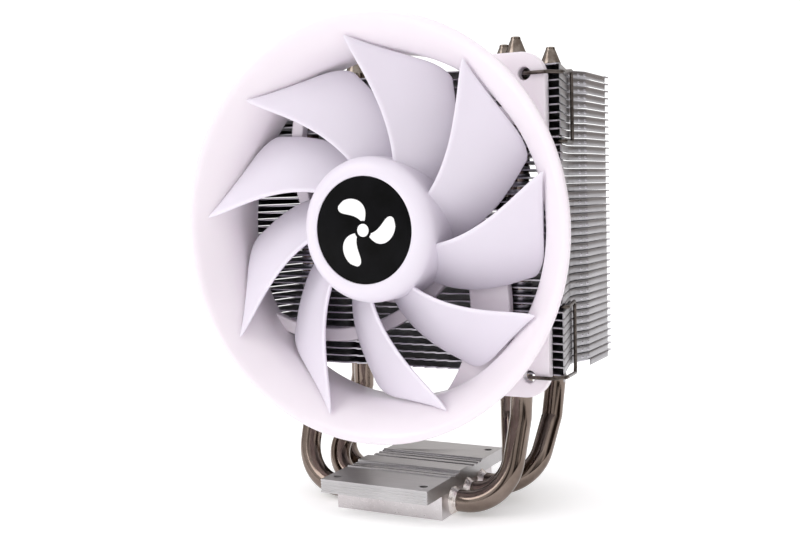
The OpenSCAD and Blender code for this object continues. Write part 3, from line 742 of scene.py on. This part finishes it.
# ------------------------------------------------------------------- fins
SIDE = np.array([
    [FIN_HALF, FIN_FRONT], [FIN_HALF - NOTCH, FIN_FRONT + 23], [FIN_HALF - NOTCH, FIN_FRONT + 29],
    [FIN_HALF - NOTCH / 2, FIN_FRONT + 36], [FIN_HALF - NOTCH / 2, FIN_REAR]])
FOLD_REAR = FIN_REAR - TAIL_L


def side_run(y0, y1, step=2.0):
    """The fins' right side from y0 to y1, its corners eased, as points and outward normals."""
    line = rounded(SIDE, [0, 6, 4, 4, 0], 6, closed=False)
    y = np.unique(np.concatenate([line[:, 1][(line[:, 1] > y0) & (line[:, 1] < y1)], [y0, y1]]))
    p = np.c_[np.interp(y, line[:, 1], line[:, 0]), y]
    t = np.gradient(p, axis=0)
    t /= np.linalg.norm(t, axis=1)[:, None]
    return p, np.c_[t[:, 1], -t[:, 0]]


FOLD_PROFILE = np.array([
    [-1.3, 0.5], [-0.55, 0.5], [-0.28, 0.44], [-0.09, 0.28], [0.0, 0.02], [0.0, -1.86], [-0.06, -1.98],
    [-0.2, -2.03], [-0.4, -1.98], [-0.46, -1.86], [-0.46, -0.15], [-0.62, 0.0], [-1.3, 0.0]])


def fold_part(y0, y1):
    """The folded edge: the sheet's profile rolled over a small bend and down to just
    above the next fin, carried along the fins' side."""
    p, n = side_run(y0, y1)
    xy = p[:, None] + FOLD_PROFILE[None, :, :1] * n[:, None]
    z = np.broadcast_to(FOLD_PROFILE[None, :, 1], xy.shape[:2])
    return patch(np.concatenate([xy, z[..., None]], -1), False, True, caps=True)


def tab_part(y, w=1.5, h=1.0, proud=0.16):
    """Small pressed tongue on the fold at depth y, where one fin locks into the next: an
    oval of powers 0.6 of cosine and sine, drawn in as it stands proud."""
    p, n = side_run(FIN_FRONT, FOLD_REAR)
    x = np.interp(y, p[:, 1], p[:, 0])
    k = int(np.argmin(abs(p[:, 1] - y)))
    nn = n[k]
    t = np.array([-nn[1], nn[0]])
    mid = np.array([x, y])
    a = np.linspace(0, 2 * np.pi, 10, endpoint=False)
    c, s = np.cos(a), np.sin(a)
    ring = np.c_[np.sign(c) * abs(c) ** 0.6 * w / 2, np.sign(s) * abs(s) ** 0.6 * h / 2]
    rows = []
    for scale, out in ((1.0, -0.1), (1.0, 0.02), (0.7, proud)):
        xy = mid + ring[:, :1] * scale * t + out * nn
        rows.append(np.c_[xy, -1.05 + ring[:, 1] * scale])
    return patch(np.stack(rows), False, True, caps=True)


def sheet_part():
    """The flat of a fin: saw teeth along the middle of its front edge, sides just inside
    the folds, and square rear corners that stand out behind them."""
    teeth = []
    for x in np.arange(-24, 24 - 2.4, 4.8):
        teeth += [[x, FIN_FRONT + 0.01], [x + 4.8, FIN_FRONT + 2.2]]
    p, n = side_run(FIN_FRONT, FOLD_REAR + 0.1)
    inside = p - 0.9 * n
    inside[0] = [p[0, 0] - 0.9, FIN_FRONT]
    right = np.concatenate([inside, [[p[-1, 0], FOLD_REAR + 0.1], [p[-1, 0], FIN_REAR]]])
    left = right[::-1] * np.array([-1, 1])
    return prism(np.concatenate([teeth, right, left]), 0.0, FIN_T)


def collar_part():
    """Short drawn neck round a heat pipe, flared where it leaves the fin."""
    neck = np.array([
        [4.02, 0.3], [4.9, 0.5], [4.5, 0.62], [4.32, 0.9], [4.3, 1.7], [4.15, 1.78], [4.02, 1.7]])
    return turned(neck, 20, closed=True)


def fin_z(i):
    """Height of fin i's underside."""
    return FIN_0 + i * FIN_PITCH


def tail_fin(up):
    """Number of the fin just above the tail of an upper (1) or a lower (-1) clip."""
    return math.ceil((FAN_Z + up * (EAR_PITCH / 2 + ARM_RISE - BAR_L) - FIN_0) / FIN_PITCH)


def stack_parts():
    """Forty fins one pitch apart. The two fins above the clips' tails have their folds
    cut back at the front, and the lowest keeps its folds at its two ends."""
    sheets, folds, tabs = [], [], []
    flat, neck = sheet_part(), collar_part()
    whole, short = fold_part(FIN_FRONT, FOLD_REAR), fold_part(FIN_FRONT + 8, FOLD_REAR)
    ends = [fold_part(FIN_FRONT, FIN_FRONT + 6), fold_part(FIN_FRONT + 38, FOLD_REAR)]
    tongues = [tab_part(FIN_FRONT + 32.2), tab_part(FIN_FRONT + 35.4)]
    cut_back = (tail_fin(1), tail_fin(-1))
    for i in range(FIN_COUNT):
        z = fin_z(i)
        sheets.append(placed(flat, z=z))
        for x, y in RISERS:
            sheets += [placed(neck, x, y, z), placed(neck, -x, y, z)]
        for fold in (ends if i == 0 else [short if i in cut_back else whole]):
            folds += [placed(fold, z=z), placed(other_side(fold), z=z)]
        for tongue in tongues if i else ():
            tabs += [placed(tongue, z=z), placed(other_side(tongue), z=z)]
    return sheets, folds, tabs


sheets, folds, tabs = stack_parts()
piece("fin_sheets", sheets, FIN, stands_for=("fin_stack", "top_fin", "bottom_fin"))
piece("fin_side_folds", folds, FOLD_PAINTED_SHADE, sharp=60)
piece("fin_lock_tongues", tabs, FIN, sharp=60)


# ------------------------------------------------------------- heat pipes
def pipe_line(k):
    """Middle line of pipe k: down the left riser, in through the base, up the right."""
    x, y = RISERS[k]
    right = [[FEET[k], PIPE_Y[k], PIPE_Z], [x, y, KNEES[k]], [x, y, PIPE_TIP - TIP_L - 0.5]]
    left = [[-p[0], p[1], p[2]] for p in right[::-1]]
    path = bent_path(left + right, BENDS[k], 26)
    return resample(path, 3.0)[0]


def tip_profile():
    """Radius against height of a pipe's end: rounded shoulder, straight cone, a swaged
    neck and a small round weld bead."""
    return np.array([
        [PIPE_R, -0.6], [PIPE_R, 0.0], [3.92, 0.35], [3.7, 0.9], [2.1, 4.95], [1.86, 5.4], [1.78, 5.75],
        [1.78, 6.0], [1.7, 6.3], [1.45, 6.5], [0.9, TIP_L], [0.0, TIP_L]])


tip = turned(tip_profile(), 48)
for k, name in enumerate(("front", "middle", "rear")):
    piece(f"heat_pipe_{name}_tube", [tube(pipe_line(k), PIPE_R, 40)], PIPE, sharp=40,
          stands_for=(f"heat_pipe_{name}",))
    x, y = RISERS[k]
    tips = [placed(tip, side * x, y, PIPE_TIP - TIP_L) for side in (-1, 1)]
    piece(f"heat_pipe_{name}_tips", tips, TIP, sharp=50)


# ------------------------------------------------------------------- base
eased_copy("cold_plate", "cold_plate_block", BLOCK, 0.25)
eased_copy("mounting_plate", "mounting_plate_top", PLATE, 0.16)


def solder_parts():
    """Fillets round the pipes at the block's sides: radius pipe + 1.15 (1 - s)^1.8, with a
    slow waviness round the pipe."""
    s = np.linspace(0, 1, 12)
    a = np.linspace(0, 2 * np.pi, 48, endpoint=False)
    parts = []
    for k, y in enumerate(PIPE_Y):
        for side in (-1, 1):
            wave = 1 + 0.18 * np.sin(3 * a + 1.3 * k + side) + 0.1 * np.sin(7 * a + 2.1 * k)
            r = PIPE_R + 0.04 + 1.15 * (1 - s[None, :]) ** 1.8 * wave[:, None]
            r[:, -1] = PIPE_R - 0.1
            x = BASE_HALF - 0.05 + 2.45 * s[None, :] + 0 * r
            z = np.clip(PIPE_Z + r * np.sin(a)[:, None], 0.3, None)
            grid = np.stack([side * x, y + r * np.cos(a)[:, None], z], -1)
            parts.append(patch(grid.transpose(1, 0, 2), False, True, caps=True))
    return parts


piece("solder_fillets", solder_parts(), SOLDER, sharp=60, stands_for=("solder_collars",))


# ------------------------------------------------------------------ clips
def clip_points(up):
    """Corners of one clip's wire: hook, ear edge, side wall, upright bar, tail."""
    z = FAN_Z + up * EAR_PITCH / 2
    tz = fin_z(tail_fin(up)) - (FIN_PITCH - FIN_T) / 2
    out = WIRE_R + 0.3
    ear = FIN_FRONT - EAR_T
    cx, cy = FIN_HALF + out, FIN_FRONT - 0.4
    nx, ny = FIN_HALF - NOTCH + out, FIN_FRONT + 25
    slope = (nx - cx) / (ny - cy)
    ty = FIN_FRONT + 5
    tx = cx + slope * (ty - cy)
    h = EAR_PITCH / 2
    return [[h, ear + 2.4, z], [h, ear - out, z], [EAR_HALF + 1.2, ear - out, z], [cx, cy, z],
            [nx, ny, z + up * ARM_RISE], [nx, ny, tz], [tx, ty, tz], [tx - 2.6, ty - 0.4, tz]]


for level, up in (("top", 1), ("bottom", -1)):
    right = rod(clip_points(up), WIRE_R, WIRE_R * 1.4)
    for hand, part in (("right", right), ("left", other_side(right))):
        piece(f"clip_wire_{level}_{hand}", [part], WIRE, f"clip_{level}_{hand}", 60,
              (f"wire_clip_{level}_{hand}",))

# ------------------------------------------------------------ inner motor
inside = {
    "bearing_sleeve": motor_metal("sintered_bronze", (0.45, 0.27, 0.12), (0.56, 0.36, 0.18), 0.42),
    "thrust_pad": PAD,
    "stator_core": motor_metal(
        "stacked_core_steel", (0.22, 0.23, 0.25), (0.34, 0.35, 0.37), 0.4, (0.02, 1.0, 0.02)),
    "winding_bobbin": INNER,
    "stator_windings": wound_copper(),
    "motor_board": motor_metal(
        "solder_mask_green", (0.03, 0.17, 0.06), (0.04, 0.22, 0.08), 0.38, metal=0.0, size=120),
    "rear_cover": DUCT,
    "rotor_yoke": motor_metal(
        "drawn_yoke_steel", (0.34, 0.34, 0.35), (0.44, 0.44, 0.45), 0.3, (1.0, 0.05, 1.0)),
    "rotor_magnet": motor_metal(
        "bonded_ferrite", (0.05, 0.05, 0.055), (0.08, 0.08, 0.085), 0.6, metal=0.0),
    "shaft": motor_metal(
        "ground_shaft_steel", (0.6, 0.6, 0.61), (0.7, 0.7, 0.71), 0.16, (1.0, 0.05, 1.0), depth=0.008),
    "retaining_ring": INNER,
}
for node, finish in inside.items():
    mesh = frame["nodes"][node].data
    mesh.materials.clear()
    mesh.materials.append(finish)


# ------------------------------------------------------------------ stage
def studio_floor(half, material):
    """Square floor at height 0 that reaches half metres each way from the middle."""
    mesh = bpy.data.meshes.new("studio_floor")
    corners = [(-half, -half, 0), (half, -half, 0), (half, half, 0), (-half, half, 0)]
    mesh.from_pydata(corners, [], [(0, 1, 2, 3)])
    mesh.materials.append(material)
    ob = bpy.data.objects.new("studio_floor", mesh)
    bpy.context.scene.collection.objects.link(ob)


def stage_paper():
    """Pale floor paper with a faint glow of its own, so that it stays near white."""
    f = Finish("pale_floor_paper", (0.90, 0.90, 0.90), 0.8, Specular_IOR_Level=0.1,
               Emission_Strength=0.35, Emission_Color=(1, 1, 1, 1))
    f.colour(f.ramp(f.noise(3, 2), (0.3, (0.89, 0.89, 0.89)), (0.7, (0.91, 0.91, 0.91))))
    f.bump(f.noise(900, 2), 0.02, 0.2)
    return f.mat


studio_floor(6.0, stage_paper())


def lamp(name, at, size, power, tone=(1, 1, 1)):
    """Soft rectangular lamp at a place, aimed at the middle of the cooler."""
    data = bpy.data.lights.new(name, "AREA")
    data.shape, data.size, data.size_y = "RECTANGLE", size[0], size[1]
    data.energy, data.color = power, tone
    ob = bpy.data.objects.new(name, data)
    bpy.context.scene.collection.objects.link(ob)
    ob.location = at
    ob.rotation_euler = (Vector((0, 0, 0.1)) - Vector(at)).to_track_quat("-Z", "Y").to_euler()


lamp("key_lamp", (-0.75, -0.9, 1.0), (0.8, 0.8), 5.3, (1.0, 0.985, 0.995))
lamp("fill_lamp", (1.0, -0.5, 0.6), (0.7, 0.9), 0.7)
lamp("top_lamp", (0.05, 0.25, 1.2), (1.2, 1.0), 3.2)

# Tones of the studio's walls by compass direction, in degrees from +X towards +Y
WALLS = (
    (-180, 0.5), (-160, 0.9), (-128, 1.0), (-104, 1.0), (-96, 0.1), (-86, 0.1), (-80, 0.95), (-58, 0.9),
    (-48, 0.05), (-24, 0.05), (-16, 0.8), (-8, 0.8), (0, 0.04), (26, 0.06), (34, 0.4), (56, 0.24),
    (70, 0.3), (80, 0.75), (100, 0.85), (118, 0.8), (128, 0.06), (152, 0.06), (160, 0.8), (180, 0.5))


def studio_air():
    """Studio walls of light and dark cloths that light the cooler and show in its metal,
    with plain white behind it."""
    world = bpy.data.worlds.new("studio_air")
    bpy.context.scene.world = world
    world.use_nodes = True
    tree = world.node_tree
    nodes, link = tree.nodes, tree.links.new
    air = nodes["Background"]
    split = nodes.new("ShaderNodeSeparateXYZ")
    link(nodes.new("ShaderNodeTexCoord").outputs["Generated"], split.inputs[0])
    turn = nodes.new("ShaderNodeMath")
    turn.operation = "ARCTAN2"
    link(split.outputs["Y"], turn.inputs[0])
    link(split.outputs["X"], turn.inputs[1])
    share = nodes.new("ShaderNodeMapRange")
    share.inputs["From Min"].default_value, share.inputs["From Max"].default_value = -math.pi, math.pi
    link(turn.outputs[0], share.inputs["Value"])
    ramp = nodes.new("ShaderNodeValToRGB")
    stops = ramp.color_ramp.elements
    while len(stops) < len(WALLS):
        stops.new(0.5)
    for stop, (at, tone) in zip(stops, WALLS):
        warm = 1 - 0.25 * (1 - tone)
        stop.position = (at + 180) / 360
        stop.color = (tone, tone * warm, tone * warm ** 1.6, 1)
    link(share.outputs["Result"], ramp.inputs["Fac"])
    lift = nodes.new("ShaderNodeMapRange")
    lift.inputs["From Min"].default_value, lift.inputs["From Max"].default_value = 0.35, 0.75
    link(split.outputs["Z"], lift.inputs["Value"])
    roof = nodes.new("ShaderNodeMix")
    roof.data_type = "RGBA"
    link(lift.outputs["Result"], roof.inputs[0])
    link(ramp.outputs["Color"], roof.inputs[6])
    roof.inputs[7].default_value = (1.0, 0.99, 1.0, 1)
    link(roof.outputs[2], air.inputs["Color"])
    air.inputs["Strength"].default_value = 1.0
    white = nodes.new("ShaderNodeBackground")
    white.inputs["Color"].default_value = (1, 1, 1, 1)
    white.inputs["Strength"].default_value = 1.3
    which = nodes.new("ShaderNodeMixShader")
    link(nodes.new("ShaderNodeLightPath").outputs["Is Camera Ray"], which.inputs[0])
    link(air.outputs[0], which.inputs[1])
    link(white.outputs[0], which.inputs[2])
    link(which.outputs[0], nodes["World Output"].inputs["Surface"])


studio_air()
bpy.context.scene.view_settings.view_transform = "Standard"


def set_camera():
    """Camera in front and to the right of the fan, slightly above the middle of it, with
    its place in metres and its turn, tilt and roll in degrees."""
    data = bpy.data.cameras.new("view_camera")
    data.sensor_width, data.lens = 36.0, 48.89
    data.clip_start, data.clip_end = 0.02, 50
    ob = bpy.data.objects.new("view_camera", data)
    bpy.context.scene.collection.objects.link(ob)
    yaw, tilt, roll = (math.radians(v) for v in (27.89, 4.22, -1.486))
    ahead = Vector((-math.sin(yaw) * math.cos(tilt), math.cos(yaw) * math.cos(tilt), -math.sin(tilt)))
    right = ahead.cross(Vector((0, 0, 1))).normalized()
    up = right.cross(ahead)
    r2 = right * math.cos(roll) + up * math.sin(roll)
    u2 = up * math.cos(roll) - right * math.sin(roll)
    m = Matrix((r2, u2, -ahead)).transposed().to_4x4()
    m.translation = Vector((0.18932, -0.36673, 0.12023))
    ob.matrix_world = m
    bpy.context.scene.camera = ob


set_camera()

bpy.context.view_layer.update()
